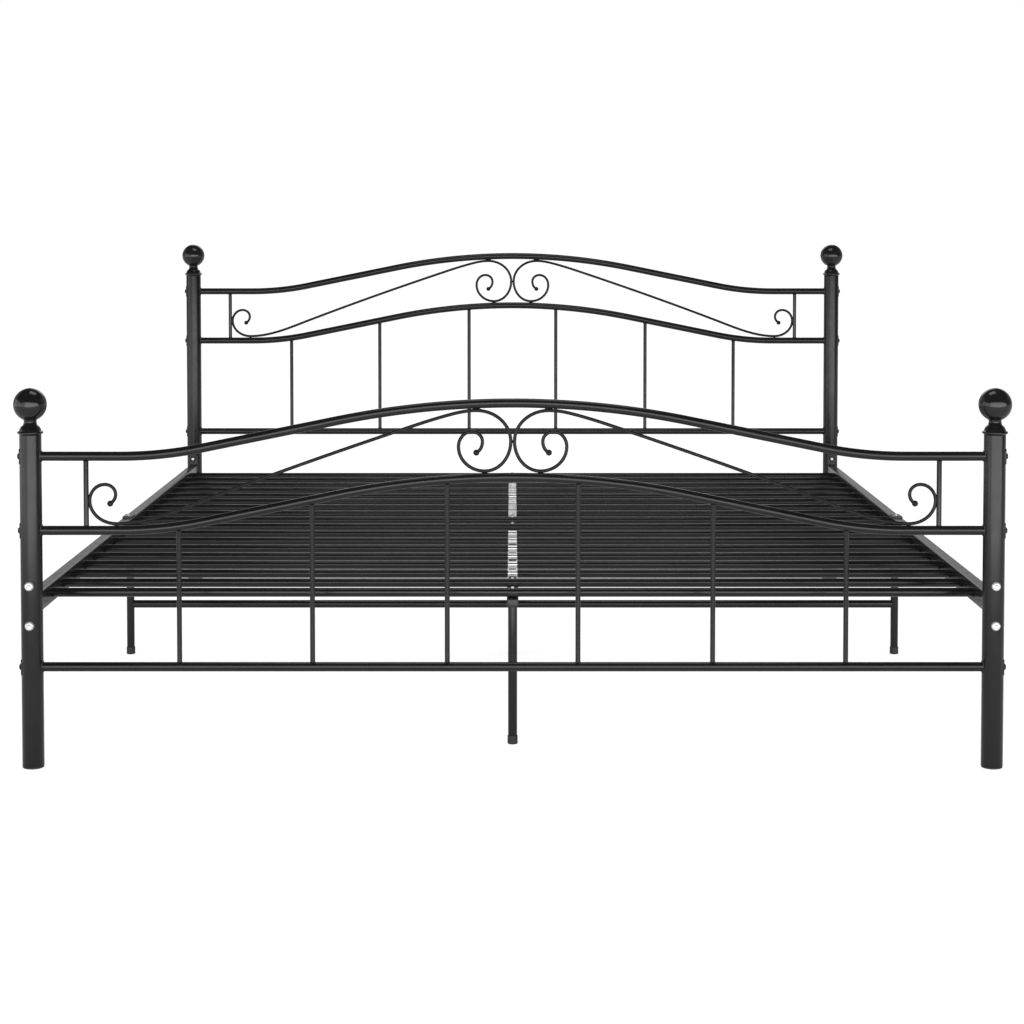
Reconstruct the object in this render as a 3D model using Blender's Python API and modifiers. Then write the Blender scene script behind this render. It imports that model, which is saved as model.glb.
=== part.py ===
"""Metal bed frame for a 180 x 200 cm mattress, in metres, +Z up.

The origin is on the floor under the middle of the bed. X runs across the bed, the
footboard is at -Y and the headboard at +Y. The posts are open tubes. The rails,
rods, slats and legs are solid bars of the real tubes' outer size, and neighbouring
pieces keep a gap of GAP.
"""

import math

import bmesh
import bpy
from mathutils import Matrix, Vector
from mathutils.geometry import interpolate_bezier

# Layout
POST_SPAN = 1.860
POST_REACH = 2.040
GAP = 0.0003
WELD_DISTANCE = 0.00001
SIDES = {"left": -1, "right": 1}

# Posts, finials and glides. A finial's heights are from the middle of its ball.
POST_RADIUS = 0.021
POST_WALL = 0.0015
POST_SEGMENTS = 24
POST_CUTTER_LENGTH = 0.120
PLUG_CLEARANCE = 0.0004
PLUG_RADIUS = POST_RADIUS - POST_WALL - PLUG_CLEARANCE
PLUG_DEPTH = 0.022
GLIDE_FLANGE = 0.003
GLIDE_RADIUS = 0.0205
GLIDE_CHAMFER = 0.001
BALL_RADIUS = 0.032
BALL_STEPS = 4
NECK_RADIUS = 0.0128
NECK_BOTTOM = -0.0395
CAP_DOME_RADIUS = 0.0206
CAP_DOME_BOTTOM = -0.0500
DOME_STEPS = 2
RIM_RADIUS = 0.0248
RIM_THICKNESS = 0.0065
RIM_CHAMFER = 0.0022
FINIAL_SEAT = -0.0577
TURNED_SEGMENTS = 12

# Panels. Heights are above the axis of the straight lower rail.
PANELS = {
    "foot": {"y": -POST_REACH / 2, "lower_rail": 0.1955, "ball": 0.7054},
    "head": {"y": POST_REACH / 2, "lower_rail": 0.4338, "ball": 0.9480},
}
RAIL_RADIUS = 0.00905
MIDDLE_RAIL_RISE = 0.2656
TOP_RAIL_RISE = 0.4095
BEND_START = 0.7575
BEND_RADIUS = 0.80
CROWN_RADIUS = 1.70
SLOPE = math.radians(11.5)
BEND_STEPS = 3
CROWN_STEPS = 6
RAIL_BEVEL = 3
RAIL_SEGMENTS = 4 + 2 * RAIL_BEVEL
ROD_RADIUS = 0.0049
ROD_DISTANCES = (0.1265, 0.3873, 0.6449)
END_BAR_X = 0.8233
END_BAR_RADIUS = 0.0050
ROD_SEGMENTS = 8

# Scrollwork: places that the wire's axis passes, as distance from the panel's centre
# line, height above the lower rail, and heading in degrees. It starts in the large
# inner loop, runs down the long tail and ends in the small outer loop.
SCROLL_RADIUS = 0.0034
SCROLL_BALL_RADIUS = 0.0060
SCROLL_BALL_DETAIL = 2
SCROLL_STEPS = 3
SCROLL_BEVEL = 2
STRAIGHT_TURN = 0.01
SCROLL_STOPS = (
    (-0.0700, 0.4165, 25.0),
    (-0.0582, 0.4380, 90.0),
    (-0.0787, 0.4570, 180.0),
    (-0.1045, 0.4280, 270.0),
    (-0.0540, 0.3807, 0.0),
    (-0.0036, 0.4380, 90.0),
    (-0.0694, 0.4980, 180.0),
    (-0.1100, 0.4927, 193.8),
    (-0.1900, 0.4688, 198.5),
    (-0.6000, 0.3225, 201.0),
    (-0.7650, 0.2785, 180.0),
    (-0.8165, 0.3235, 90.0),
    (-0.7870, 0.3548, 0.0),
    (-0.7664, 0.3357, 270.0),
    (-0.7770, 0.3177, 209.0),
)

# Side rails and their bolts
SIDE_RAIL_WIDTH = 0.024
SIDE_RAIL_HEIGHT = 0.039
SIDE_RAIL_Z = 0.3178
PLATE_WIDTH = 0.026
PLATE_HEIGHT = 0.100
PLATE_THICKNESS = 0.0035
PLATE_OVERLAP = 0.001
EDGE_BEVEL = 0.0022
EDGE_STEPS = 2
BOLT_OFFSET = 0.0385
BOLT_RADIUS = 0.004
BOLT_HOLE_RADIUS = 0.0045
POST_DRILL_LENGTH = 0.060
PLATE_DRILL_LENGTH = 0.014
BOLT_HEAD_RADIUS = 0.0089
BOLT_HEAD_HEIGHT = 0.0056
BOLT_HEAD_STEPS = 3
NUT_RADIUS = 0.0068
NUT_HEIGHT = 0.0065
THREAD_END = 0.004
BOLT_SEGMENTS = 8

# Deck
SLAT_COUNT = 18
SLAT_RADIUS = 0.0091
SLAT_Z = 0.3183
SLAT_END_MARGIN = 0.123
PIN_HALF_LENGTH = 0.0100
PIN_RADIUS = 0.0083
SLAT_SEGMENTS = 10
SUPPORTED_PAIRS = ((0, 1), (8, 9), (16, 17))

# Legs under the deck
LEG_RADIUS = 0.0092
LEG_CAP_RADIUS = 0.0103
LEG_CAP_HEIGHT = 0.017
LEG_SEGMENTS = 12
BRACE_Z = 0.122
BRACE_RADIUS = 0.0093
CHANNEL_WIDTH = 0.0230
CHANNEL_HEIGHT = 0.0165
CHANNEL_LENGTH = 0.152
CHANNEL_WALL = 0.0018

SMOOTH_ANGLE = math.radians(35)


def clear_scene():
    """Remove what the scene starts with."""
    for item in list(bpy.data.objects):
        bpy.data.objects.remove(item, do_unlink=True)


def new_collection(name):
    """A collection under the scene's own."""
    collection = bpy.data.collections.new(name)
    bpy.context.scene.collection.children.link(collection)
    return collection


def new_material(name, colour, metallic, roughness):
    """A Principled material of one colour."""
    material = bpy.data.materials.new(name)
    material.use_nodes = True
    shader = material.node_tree.nodes["Principled BSDF"]
    shader.inputs["Base Color"].default_value = (*colour, 1.0)
    shader.inputs["Metallic"].default_value = metallic
    shader.inputs["Roughness"].default_value = roughness
    return material


clear_scene()
PARTS = new_collection("metal_bed_frame")
CUTTERS = new_collection("cutters")
POWDER_COAT = new_material("black_powder_coat", (0.012, 0.012, 0.013), 0.0, 0.38)
BLACK_PLASTIC = new_material("black_plastic", (0.008, 0.008, 0.008), 0.0, 0.18)
ZINC = new_material("zinc_plate", (0.62, 0.62, 0.60), 1.0, 0.30)


# --- building blocks -----------------------------------------------------------------


def add_part(name, mesh, material, place=Matrix.Identity(4)):
    """One sub-part of the bed, smooth on its round faces."""
    mesh.materials.clear()
    mesh.materials.append(material)
    mesh.shade_smooth()
    mesh.set_sharp_from_angle(angle=SMOOTH_ANGLE)
    part = bpy.data.objects.new(name, mesh)
    part.matrix_world = place
    PARTS.objects.link(part)
    return part


def add_tool(name, mesh, place=Matrix.Identity(4)):
    """A wire-drawn guide that a Boolean reads."""
    tool = bpy.data.objects.new(name, mesh)
    tool.matrix_world = place
    tool.hide_render = True
    tool.display_type = "WIRE"
    CUTTERS.objects.link(tool)
    return tool


def add_boolean(part, tool, operation):
    """An exact Boolean that stays on the part."""
    modifier = part.modifiers.new(tool.name, "BOOLEAN")
    modifier.object = tool
    modifier.operation = operation
    modifier.solver = "EXACT"


def finish_mesh(name, build):
    """A mesh that build fills."""
    mesh = bpy.data.meshes.new(name)
    shape = bmesh.new()
    build(shape)
    shape.to_mesh(mesh)
    shape.free()
    return mesh


def cylinder_mesh(name, radius, length, segments):
    """An upright cylinder about its own centre."""

    def build(shape):
        bmesh.ops.create_cone(
            shape,
            cap_ends=True,
            segments=segments,
            radius1=radius,
            radius2=radius,
            depth=length,
        )

    return finish_mesh(name, build)


def box_mesh(name, size, bevel=0.0):
    """A box about its own centre, with its long edges rounded off where bevel is set."""

    def build(shape):
        bmesh.ops.create_cube(shape, size=1.0, matrix=Matrix.Diagonal((*size, 1.0)))
        if bevel:
            long_side = max(size)
            edges = [e for e in shape.edges if abs(e.calc_length() - long_side) < WELD_DISTANCE]
            bmesh.ops.bevel(
                shape,
                geom=edges,
                offset=bevel,
                segments=EDGE_STEPS,
                affect="EDGES",
            )

    return finish_mesh(name, build)


def ball_mesh(name, radius):
    """A small ball."""

    def build(shape):
        bmesh.ops.create_icosphere(shape, subdivisions=SCROLL_BALL_DETAIL, radius=radius)

    return finish_mesh(name, build)


def swept_mesh(name, points, radius, bevel_resolution):
    """A round bar along points, closed at both ends."""
    curve = bpy.data.curves.new(name, "CURVE")
    curve.dimensions = "3D"
    curve.twist_mode = "MINIMUM"
    curve.bevel_depth = radius
    curve.bevel_resolution = bevel_resolution
    curve.use_fill_caps = True
    spline = curve.splines.new("POLY")
    spline.points.add(len(points) - 1)
    for target, point in zip(spline.points, points):
        target.co = (*point, 1.0)
    guide = bpy.data.objects.new(name, curve)
    bpy.context.scene.collection.objects.link(guide)
    evaluated = guide.evaluated_get(bpy.context.evaluated_depsgraph_get())
    mesh = bpy.data.meshes.new_from_object(evaluated)
    bpy.data.objects.remove(guide, do_unlink=True)
    bpy.data.curves.remove(curve)
    shape = bmesh.new()
    shape.from_mesh(mesh)
    bmesh.ops.remove_doubles(shape, verts=shape.verts, dist=WELD_DISTANCE)
    shape.to_mesh(mesh)
    shape.free()
    return mesh


def add_turned(name, profile, material, segments, place, closed=False):
    """A part turned about its own Z from (radius, height) points that run down its outer side."""
    mesh = bpy.data.meshes.new(name)
    edges = [(i, i + 1) for i in range(len(profile) - 1)]
    if closed:
        edges.append((len(profile) - 1, 0))
    mesh.from_pydata([(radius, 0.0, height) for radius, height in profile], edges, [])
    part = add_part(name, mesh, material, place)
    screw = part.modifiers.new("turn", "SCREW")
    screw.axis = "Z"
    screw.angle = math.tau
    screw.steps = segments
    screw.render_steps = segments
    screw.use_merge_vertices = True
    screw.merge_threshold = WELD_DISTANCE
    screw.use_smooth_shade = True
    return part


def arc(centre_radius, centre_height, radius, start, end, steps):
    """Profile points on an arc. Angles are in degrees, 0 outwards and 90 up."""
    points = []
    for step in range(steps + 1):
        angle = math.radians(start + (end - start) * step / steps)
        points.append(
            (
                centre_radius + radius * math.cos(angle),
                centre_height + radius * math.sin(angle),
            )
        )
    return points


def along_x(x, y, z):
    """A place whose own Z points along world +X."""
    return Matrix.Translation((x, y, z)) @ Matrix.Rotation(math.pi / 2, 4, "Y")


def along_y(x, y, z, direction):
    """A place whose own Z points along world +Y, or -Y where direction is negative."""
    turn = -direction * math.pi / 2
    return Matrix.Translation((x, y, z)) @ Matrix.Rotation(turn, 4, "X")


def add_bolt_hole(part, x, y, level, length):
    """Drill a bolt hole along Y, with a flat of its outline at the top."""
    name = f"{part.name}_hole"
    hole = cylinder_mesh(name, BOLT_HOLE_RADIUS, length, BOLT_SEGMENTS)
    place = along_y(x, y, level, 1) @ Matrix.Rotation(math.pi / BOLT_SEGMENTS, 4, "Z")
    add_boolean(part, add_tool(name, hole, place), "DIFFERENCE")


# --- posts ---------------------------------------------------------------------------


def post_top(panel):
    """Height of the post's upper end."""
    return PANELS[panel]["ball"] + FINIAL_SEAT - GAP


def add_post(panel, side):
    """A tube with cross holes for the two side rail bolts."""
    inner = POST_RADIUS - POST_WALL
    bottom = GLIDE_FLANGE + GAP
    top = post_top(panel)
    profile = [(POST_RADIUS, top), (POST_RADIUS, bottom), (inner, bottom), (inner, top)]
    x = SIDES[side] * POST_SPAN / 2
    y = PANELS[panel]["y"]
    place = Matrix.Translation((x, y, 0.0))
    name = f"{panel}_post_{side}"
    post = add_turned(name, profile, POWDER_COAT, POST_SEGMENTS, place, closed=True)
    for level in bolt_levels():
        add_bolt_hole(post, x, y, level, POST_DRILL_LENGTH)


def add_finial(panel, side):
    """A ball on a neck and a rimmed cap, with a plug that fills the post's end."""
    neck_angle = math.degrees(math.asin(NECK_RADIUS / BALL_RADIUS)) - 90
    upper = arc(0.0, 0.0, BALL_RADIUS, 90, 0, BALL_STEPS)
    upper[0] = (0.0, BALL_RADIUS)
    ball = upper + arc(0.0, 0.0, BALL_RADIUS, 0, neck_angle, BALL_STEPS)[1:]
    dome_rise = NECK_BOTTOM - CAP_DOME_BOTTOM
    dome_reach = CAP_DOME_RADIUS - NECK_RADIUS
    dome = [
        (
            NECK_RADIUS + dome_reach * math.sin(math.pi / 2 * step / DOME_STEPS),
            CAP_DOME_BOTTOM + dome_rise * math.cos(math.pi / 2 * step / DOME_STEPS),
        )
        for step in range(DOME_STEPS + 1)
    ]
    rim_bottom = CAP_DOME_BOTTOM - RIM_THICKNESS
    rim = [
        (RIM_RADIUS - RIM_CHAMFER, CAP_DOME_BOTTOM),
        (RIM_RADIUS, CAP_DOME_BOTTOM - RIM_CHAMFER),
        (RIM_RADIUS, rim_bottom + RIM_CHAMFER),
        (RIM_RADIUS - RIM_CHAMFER, rim_bottom),
    ]
    seat = [
        (POST_RADIUS, FINIAL_SEAT),
        (PLUG_RADIUS, FINIAL_SEAT),
        (PLUG_RADIUS, FINIAL_SEAT - PLUG_DEPTH),
        (0.0, FINIAL_SEAT - PLUG_DEPTH),
    ]
    x = SIDES[side] * POST_SPAN / 2
    place = Matrix.Translation((x, PANELS[panel]["y"], PANELS[panel]["ball"]))
    profile = ball + dome + rim + seat
    add_turned(f"{panel}_finial_{side}", profile, BLACK_PLASTIC, TURNED_SEGMENTS, place)


def add_glide(panel, side):
    """A plug with a flange that the post stands on."""
    profile = [
        (0.0, GLIDE_FLANGE + PLUG_DEPTH),
        (PLUG_RADIUS, GLIDE_FLANGE + PLUG_DEPTH),
        (PLUG_RADIUS, GLIDE_FLANGE),
        (GLIDE_RADIUS, GLIDE_FLANGE),
        (GLIDE_RADIUS, GLIDE_CHAMFER),
        (GLIDE_RADIUS - GLIDE_CHAMFER, 0.0),
        (0.0, 0.0),
    ]
    place = Matrix.Translation((SIDES[side] * POST_SPAN / 2, PANELS[panel]["y"], 0.0))
    add_turned(f"{panel}_glide_{side}", profile, BLACK_PLASTIC, TURNED_SEGMENTS, place)


# --- head and foot panels ------------------------------------------------------------


def bend_rise(x):
    """How far an arched rail has risen at x: flat end, bend, slope, then the crown."""
    distance = abs(x)
    bend_end = BEND_START - BEND_RADIUS * math.sin(SLOPE)
    crown_start = CROWN_RADIUS * math.sin(SLOPE)
    if distance >= BEND_START:
        return 0.0
    if distance >= bend_end:
        return BEND_RADIUS - math.sqrt(BEND_RADIUS**2 - (BEND_START - distance) ** 2)
    rise = BEND_RADIUS * (1 - math.cos(SLOPE))
    if distance >= crown_start:
        return rise + (bend_end - distance) * math.tan(SLOPE)
    rise += (bend_end - crown_start) * math.tan(SLOPE)
    crown_drop = CROWN_RADIUS - math.sqrt(CROWN_RADIUS**2 - distance**2)
    return rise + CROWN_RADIUS * (1 - math.cos(SLOPE)) - crown_drop


def arched_stations():
    """X places along an arched rail, from one post to the other."""
    half = [POST_SPAN / 2]
    for step in range(BEND_STEPS + 1):
        half.append(BEND_START - BEND_RADIUS * math.sin(SLOPE * step / BEND_STEPS))
    for step in range(CROWN_STEPS, 0, -1):
        half.append(CROWN_RADIUS * math.sin(SLOPE * step / CROWN_STEPS))
    return [-x for x in half] + [0.0] + half[::-1]


def arched_points(panel, rise):
    """Axis of an arched rail whose flat ends are rise above the lower rail."""
    base = PANELS[panel]["lower_rail"] + rise
    y = PANELS[panel]["y"]
    return [(x, y, base + bend_rise(x)) for x in arched_stations()]


def cut_for_posts(part, panel):
    """Shape the ends of a rail to the posts that they meet."""
    radius = (POST_RADIUS + GAP) / math.cos(math.pi / POST_SEGMENTS)
    for side, sign in SIDES.items():
        name = f"{part.name}_{side}_post_cut"
        mesh = cylinder_mesh(name, radius, POST_CUTTER_LENGTH, POST_SEGMENTS)
        height = part.data.vertices[0].co.z
        place = Matrix.Translation((sign * POST_SPAN / 2, PANELS[panel]["y"], height))
        add_boolean(part, add_tool(name, mesh, place), "DIFFERENCE")


def add_arched_rail(panel, level, rise):
    """A bent tube between the posts."""
    name = f"{panel}_{level}_rail"
    mesh = swept_mesh(name, arched_points(panel, rise), RAIL_RADIUS, RAIL_BEVEL)
    cut_for_posts(add_part(name, mesh, POWDER_COAT), panel)


def rod_places():
    """X places of the upright rods, from left to right."""
    return [-x for x in reversed(ROD_DISTANCES)] + list(ROD_DISTANCES)


def add_rod_panel(panel):
    """The straight lower rail with its six rods, cut to meet the middle rail."""
    y = PANELS[panel]["y"]
    base = PANELS[panel]["lower_rail"]
    name = f"{panel}_lower_rail"
    ends = [(-POST_SPAN / 2, y, base), (POST_SPAN / 2, y, base)]
    comb = add_part(name, swept_mesh(name, ends, RAIL_RADIUS, RAIL_BEVEL), POWDER_COAT)
    cut_for_posts(comb, panel)
    for index, x in enumerate(rod_places()):
        length = MIDDLE_RAIL_RISE + bend_rise(x)
        rod = cylinder_mesh(f"{panel}_rod_{index}", ROD_RADIUS, length, ROD_SEGMENTS)
        place = Matrix.Translation((x, y, base + length / 2))
        add_boolean(comb, add_tool(f"{panel}_rod_{index}", rod, place), "UNION")
    swollen = (RAIL_RADIUS + GAP) / math.cos(math.pi / RAIL_SEGMENTS)
    points = arched_points(panel, MIDDLE_RAIL_RISE)
    cutter = swept_mesh(f"{name}_seat", points, swollen, RAIL_BEVEL)
    add_boolean(comb, add_tool(f"{name}_seat", cutter), "DIFFERENCE")


def handle_ratio(turn):
    """Length of a cubic curve's handle over its chord, for a circular turn in radians."""
    if abs(turn) < STRAIGHT_TURN:
        return 1 / 3
    return 2 / 3 * math.tan(turn / 4) / math.sin(turn / 2)


def scroll_points(panel, side):
    """Axis of the scroll wire, as cubic curves through SCROLL_STOPS."""
    mirror = -SIDES[side]
    y = PANELS[panel]["y"]
    base = PANELS[panel]["lower_rail"]
    points = []
    for start, end in zip(SCROLL_STOPS, SCROLL_STOPS[1:]):
        first = Vector((start[0], start[1]))
        last = Vector((end[0], end[1]))
        turn = math.radians((end[2] - start[2] + 180) % 360 - 180)
        reach = (last - first).length * handle_ratio(turn)
        leave = first + reach * heading(start[2])
        arrive = last - reach * heading(end[2])
        points += interpolate_bezier(first, leave, arrive, last, SCROLL_STEPS + 1)[:-1]
    points.append(Vector((SCROLL_STOPS[-1][0], SCROLL_STOPS[-1][1])))
    return [Vector((mirror * p[0], y, base + p[1])) for p in points]


def heading(degrees):
    """Unit vector at an angle."""
    return Vector((math.cos(math.radians(degrees)), math.sin(math.radians(degrees))))


def add_scrollwork(panel, side):
    """The scroll wire with its ball ends, welded to the short upright bar beside it."""
    name = f"{panel}_scrollwork_{side}"
    points = scroll_points(panel, side)
    wire = add_part(name, swept_mesh(name, points, SCROLL_RADIUS, SCROLL_BEVEL), POWDER_COAT)
    for index, point in enumerate((points[0], points[-1])):
        ball = ball_mesh(f"{name}_ball_{index}", SCROLL_BALL_RADIUS)
        tool = add_tool(f"{name}_ball_{index}", ball, Matrix.Translation(point))
        add_boolean(wire, tool, "UNION")
    length = TOP_RAIL_RISE - MIDDLE_RAIL_RISE - 2 * (RAIL_RADIUS + GAP)
    bar = cylinder_mesh(f"{name}_bar", END_BAR_RADIUS, length, ROD_SEGMENTS)
    middle = PANELS[panel]["lower_rail"] + (TOP_RAIL_RISE + MIDDLE_RAIL_RISE) / 2
    place = Matrix.Translation((SIDES[side] * END_BAR_X, PANELS[panel]["y"], middle))
    add_boolean(wire, add_tool(f"{name}_bar", bar, place), "UNION")


# --- side rails ----------------------------------------------------------------------


def bolt_levels():
    """Heights of the two bolts at each end of a side rail."""
    return (SIDE_RAIL_Z - BOLT_OFFSET, SIDE_RAIL_Z + BOLT_OFFSET)


def add_side_rail(side):
    """A rectangular bar with a drilled plate welded across each end."""
    name = f"side_rail_{side}"
    x = SIDES[side] * POST_SPAN / 2
    plate_face = POST_REACH / 2 - POST_RADIUS - GAP
    half_length = plate_face - PLATE_THICKNESS + PLATE_OVERLAP
    size = (SIDE_RAIL_WIDTH, 2 * half_length, SIDE_RAIL_HEIGHT)
    place = Matrix.Translation((x, 0.0, SIDE_RAIL_Z))
    rail = add_part(name, box_mesh(name, size, EDGE_BEVEL), POWDER_COAT, place)
    for sign in (-1, 1):
        size = (PLATE_WIDTH, PLATE_THICKNESS, PLATE_HEIGHT)
        y = sign * (plate_face - PLATE_THICKNESS / 2)
        plate = box_mesh(f"{name}_plate", size)
        place = Matrix.Translation((x, y, SIDE_RAIL_Z))
        add_boolean(rail, add_tool(f"{name}_plate", plate, place), "UNION")
        for level in bolt_levels():
            add_bolt_hole(rail, x, y, level, PLATE_DRILL_LENGTH)


def add_rail_bolt(panel, side, level_name, level):
    """A button-head bolt through the post and the plate, with its nut on."""
    seat = 2 * POST_RADIUS + 2 * GAP + PLATE_THICKNESS + GAP
    thread = seat + NUT_HEIGHT + THREAD_END
    head = arc(0.0, 0.0, BOLT_HEAD_HEIGHT, 90, 0, BOLT_HEAD_STEPS)
    stretch = BOLT_HEAD_RADIUS / BOLT_HEAD_HEIGHT
    head = [(radius * stretch, height) for radius, height in head]
    head[0] = (0.0, BOLT_HEAD_HEIGHT)
    shank = [
        (BOLT_RADIUS, 0.0),
        (BOLT_RADIUS, -seat),
        (NUT_RADIUS, -seat),
        (NUT_RADIUS, -seat - NUT_HEIGHT),
        (BOLT_RADIUS, -seat - NUT_HEIGHT),
        (BOLT_RADIUS, -thread),
        (0.0, -thread),
    ]
    direction = math.copysign(1, PANELS[panel]["y"])
    y = PANELS[panel]["y"] + direction * (POST_RADIUS + GAP)
    place = along_y(SIDES[side] * POST_SPAN / 2, y, level, direction)
    name = f"{panel}_rail_bolt_{side}_{level_name}"
    add_turned(name, head + shank, ZINC, BOLT_SEGMENTS, place)


# --- deck ----------------------------------------------------------------------------


def slat_y(index):
    """Where a slat lies along the bed."""
    reach = POST_REACH / 2 - SLAT_END_MARGIN
    return -reach + 2 * reach * index / (SLAT_COUNT - 1)


def add_slat(index):
    """A round slat. Away from the centre legs its two halves meet on a thinner pin."""
    half = POST_SPAN / 2 - SIDE_RAIL_WIDTH / 2 - GAP
    profile = [(0.0, half), (SLAT_RADIUS, half)]
    if all(index not in pair for pair in SUPPORTED_PAIRS):
        profile += [
            (SLAT_RADIUS, PIN_HALF_LENGTH),
            (PIN_RADIUS, PIN_HALF_LENGTH),
            (PIN_RADIUS, -PIN_HALF_LENGTH),
            (SLAT_RADIUS, -PIN_HALF_LENGTH),
        ]
    profile += [(SLAT_RADIUS, -half), (0.0, -half)]
    place = along_x(0.0, slat_y(index), SLAT_Z)
    add_turned(f"deck_slat_{index + 1:02d}", profile, POWDER_COAT, SLAT_SEGMENTS, place)


# --- legs under the deck -------------------------------------------------------------


def add_leg(name, x, y, top):
    """An upright leg with a wider cap at the floor."""
    profile = [
        (0.0, top),
        (LEG_RADIUS, top),
        (LEG_RADIUS, LEG_CAP_HEIGHT),
        (LEG_CAP_RADIUS, LEG_CAP_HEIGHT),
        (LEG_CAP_RADIUS, 0.0),
        (0.0, 0.0),
    ]
    place = Matrix.Translation((x, y, 0.0))
    add_turned(name, profile, POWDER_COAT, LEG_SEGMENTS, place)


def add_centre_support(place_name, pair):
    """A leg in a pressed channel, closed at its ends, that lies under two slats."""
    y = (slat_y(pair[0]) + slat_y(pair[1])) / 2
    top = SLAT_Z - SLAT_RADIUS - GAP
    name = f"centre_bracket_{place_name}"
    block = box_mesh(name, (CHANNEL_WIDTH, CHANNEL_LENGTH, CHANNEL_HEIGHT))
    place = Matrix.Translation((0.0, y, top - CHANNEL_HEIGHT / 2))
    channel = add_part(name, block, POWDER_COAT, place)
    inner_width = CHANNEL_WIDTH - 2 * CHANNEL_WALL
    inner_length = CHANNEL_LENGTH - 2 * CHANNEL_WALL
    groove = box_mesh(f"{name}_groove", (inner_width, inner_length, CHANNEL_HEIGHT))
    place = Matrix.Translation((0.0, y, top - CHANNEL_WALL - CHANNEL_HEIGHT / 2))
    add_boolean(channel, add_tool(f"{name}_groove", groove, place), "DIFFERENCE")
    add_leg(f"centre_leg_{place_name}", 0.0, y, top - CHANNEL_WALL - GAP)


def add_side_support(side):
    """A leg under the middle of a side rail and the brace from it to the centre leg."""
    top = SIDE_RAIL_Z - SIDE_RAIL_HEIGHT / 2 - GAP
    add_leg(f"mid_leg_{side}", SIDES[side] * POST_SPAN / 2, 0.0, top)
    inner = LEG_RADIUS + GAP
    outer = POST_SPAN / 2 - LEG_RADIUS - GAP
    name = f"cross_brace_{side}"
    mesh = cylinder_mesh(name, BRACE_RADIUS, outer - inner, LEG_SEGMENTS)
    place = along_x(SIDES[side] * (inner + outer) / 2, 0.0, BRACE_Z)
    add_part(name, mesh, POWDER_COAT, place)


def build_bed():
    """Every sub-part of the bed."""
    for panel in PANELS:
        add_arched_rail(panel, "top", TOP_RAIL_RISE)
        add_arched_rail(panel, "middle", MIDDLE_RAIL_RISE)
        add_rod_panel(panel)
        for side in SIDES:
            add_post(panel, side)
            add_finial(panel, side)
            add_glide(panel, side)
            add_scrollwork(panel, side)
            for level_name, level in zip(("lower", "upper"), bolt_levels()):
                add_rail_bolt(panel, side, level_name, level)
    for index in range(SLAT_COUNT):
        add_slat(index)
    for place_name, pair in zip(("foot", "middle", "head"), SUPPORTED_PAIRS):
        add_centre_support(place_name, pair)
    for side in SIDES:
        add_side_rail(side)
        add_side_support(side)


build_bed()
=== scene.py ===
"""Looks of the metal bed frame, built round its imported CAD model, in metres.

The origin is on the floor under the middle of the bed, the footboard is at -Y and the
headboard at +Y. Heights and places of the main tubes are read from the CAD nodes.
"""

import math

import bmesh
import bpy
from mathutils import Matrix, Vector, noise
from mathutils.geometry import interpolate_bezier


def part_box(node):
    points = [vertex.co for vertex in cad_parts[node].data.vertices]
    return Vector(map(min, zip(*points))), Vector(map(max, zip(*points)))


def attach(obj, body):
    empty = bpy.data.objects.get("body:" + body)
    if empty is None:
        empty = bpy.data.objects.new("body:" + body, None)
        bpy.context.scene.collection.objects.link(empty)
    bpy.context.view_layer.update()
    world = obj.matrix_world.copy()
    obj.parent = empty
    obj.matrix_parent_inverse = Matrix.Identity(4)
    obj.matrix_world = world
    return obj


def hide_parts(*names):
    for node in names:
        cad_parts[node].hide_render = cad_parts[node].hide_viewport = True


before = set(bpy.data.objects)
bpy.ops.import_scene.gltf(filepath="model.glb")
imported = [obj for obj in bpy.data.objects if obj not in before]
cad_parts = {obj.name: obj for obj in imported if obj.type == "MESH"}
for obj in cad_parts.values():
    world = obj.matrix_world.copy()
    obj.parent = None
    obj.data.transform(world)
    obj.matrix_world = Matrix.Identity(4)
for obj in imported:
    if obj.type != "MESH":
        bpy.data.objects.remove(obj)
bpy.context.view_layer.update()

SIDES = {"left": -1, "right": 1}
PANELS = {"foot": -1, "head": 1}

# Posts and finials
POST_RADIUS = 0.021
POST_WALL = 0.0015
PLUG_RADIUS = 0.0191
GLIDE_RADIUS = 0.0205
PLUG_DEPTH = 0.022
BALL_RADIUS = 0.032
NECK_RADIUS = 0.0128

# The finial below its ball: radius, height from the ball's centre.
NECK_PROFILE = (
    (0.0124, -0.0309),
    (0.0120, -0.0322),
    (0.0121, -0.0334),
    (0.0133, -0.0388),
    (0.0141, -0.0396),
    (0.0158, -0.0408),
    (0.0175, -0.0424),
    (0.0190, -0.0447),
    (0.0201, -0.0471),
    (0.0207, -0.0490),
    (0.0211, -0.0503),
)
RIM_PROFILE = (
    (0.0211, -0.0503),
    (0.0248, -0.0524),
    (0.0248, -0.0549),
    (0.0221, -0.0569),
    (0.0211, -0.0571),
)
RIM_SEAT_RADIUS = 0.0208

# Panels
RAIL_RADIUS = 0.00905
MIDDLE_RAIL_RISE = 0.2656
TOP_RAIL_RISE = 0.4095
BEND_START = 0.7575
BEND_RADIUS = 0.80
CROWN_RADIUS = 1.70
SLOPE = math.radians(11.5)
ROD_RADIUS = 0.0049
ROD_DISTANCES = (0.1265, 0.3873, 0.6449)
END_BAR_X = 0.8233
END_BAR_RADIUS = 0.0050
BAR_SUNK = 0.0008
COLLAR_SPREAD = 0.0011
COLLAR_HEIGHT = 0.0024
SCROLL_RADIUS = 0.0034
SCROLL_BALL_RADIUS = 0.0060
SCROLL_MIDDLE_RISE = 0.438
RAIL_INTO_POST = 0.0025

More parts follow.
